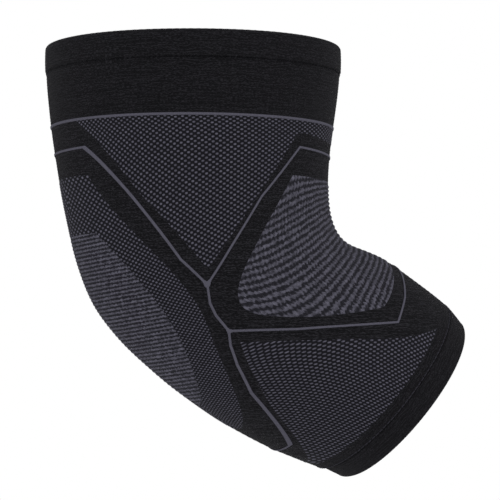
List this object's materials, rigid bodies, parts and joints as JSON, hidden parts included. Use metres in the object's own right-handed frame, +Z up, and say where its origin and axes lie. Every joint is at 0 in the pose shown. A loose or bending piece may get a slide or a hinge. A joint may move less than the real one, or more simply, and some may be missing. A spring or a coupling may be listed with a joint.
{
  "type": "elbow pad",
  "caption": "Tapered knitted elbow sleeve, knitted to a bend, with folded hems, dotted mesh and ribbed zones, dark straps edged with piping, and an arm channel right through.",
  "frame": {"origin": "centre of the upper arm opening, in the plane of its rim", "axes": "+Z up along the upper arm and out of the upper opening; +X towards the crook of the elbow and the forearm; the sleeve is a mirror image of itself across Y = 0"},
  "size_m": [0.1714, 0.1178, 0.171],
  "materials": {
    "band_knit": "matte fine black rib knit",
    "strap_knit": "matte dense black knit",
    "mesh_knit": "two-tone dotted knit, grey on black",
    "crook_rib_knit": "soft wide ribs, grey over black",
    "elbow_rib_knit": "fine ribs, grey over black",
    "piping_knit": "smooth grey knit line",
    "thread": "dark grey sewing thread",
    "elastic": "woven elastic tape",
    "silicone": "satin silicone grip"
  },
  "bodies": {
    "upper_arm": {"upper_hem": "band_knit", "upper_hem_elastic": "elastic", "upper_hem_stitching": "thread", "upper_grip_strip": "silicone", "upper_band": "band_knit", "upper_ring_piping": "piping_knit", "upper_mesh_near": "mesh_knit", "upper_mesh_far": "mesh_knit", "back_upper_strap": "strap_knit", "front_upper_strap": "strap_knit", "side_strap_near": "strap_knit", "side_strap_far": "strap_knit", "crook_rib_panel": "crook_rib_knit", "elbow_rib_panel": "elbow_rib_knit", "elbow_mesh_panel": "mesh_knit", "back_upper_piping": "piping_knit", "front_upper_piping": "piping_knit", "side_piping_near": "piping_knit", "side_piping_far": "piping_knit"},
    "forearm": {"front_lower_strap": "strap_knit", "back_lower_strap": "strap_knit", "front_lower_piping": "piping_knit", "back_lower_piping": "piping_knit", "lower_mesh_near": "mesh_knit", "lower_mesh_far": "mesh_knit", "lower_band": "band_knit", "lower_hem": "band_knit", "lower_hem_elastic": "elastic", "lower_hem_stitching": "thread", "lower_grip_strip": "silicone"}
  },
  "joints": [
    {"name": "elbow_flex", "type": "hinge", "parent": "upper_arm", "child": "forearm", "pos_m": [0.008, 0, -0.088], "axis": [0, -1, 0], "range_deg": [-56, 45], "stiffness_Nm_per_rad": 0.4, "deforming": ["back_upper_strap", "front_upper_strap", "side_strap_near", "side_strap_far", "front_lower_strap", "back_lower_strap", "crook_rib_panel", "elbow_rib_panel", "elbow_mesh_panel", "back_upper_piping", "front_upper_piping", "side_piping_near", "side_piping_far", "front_lower_piping", "back_lower_piping"]}
  ]
}
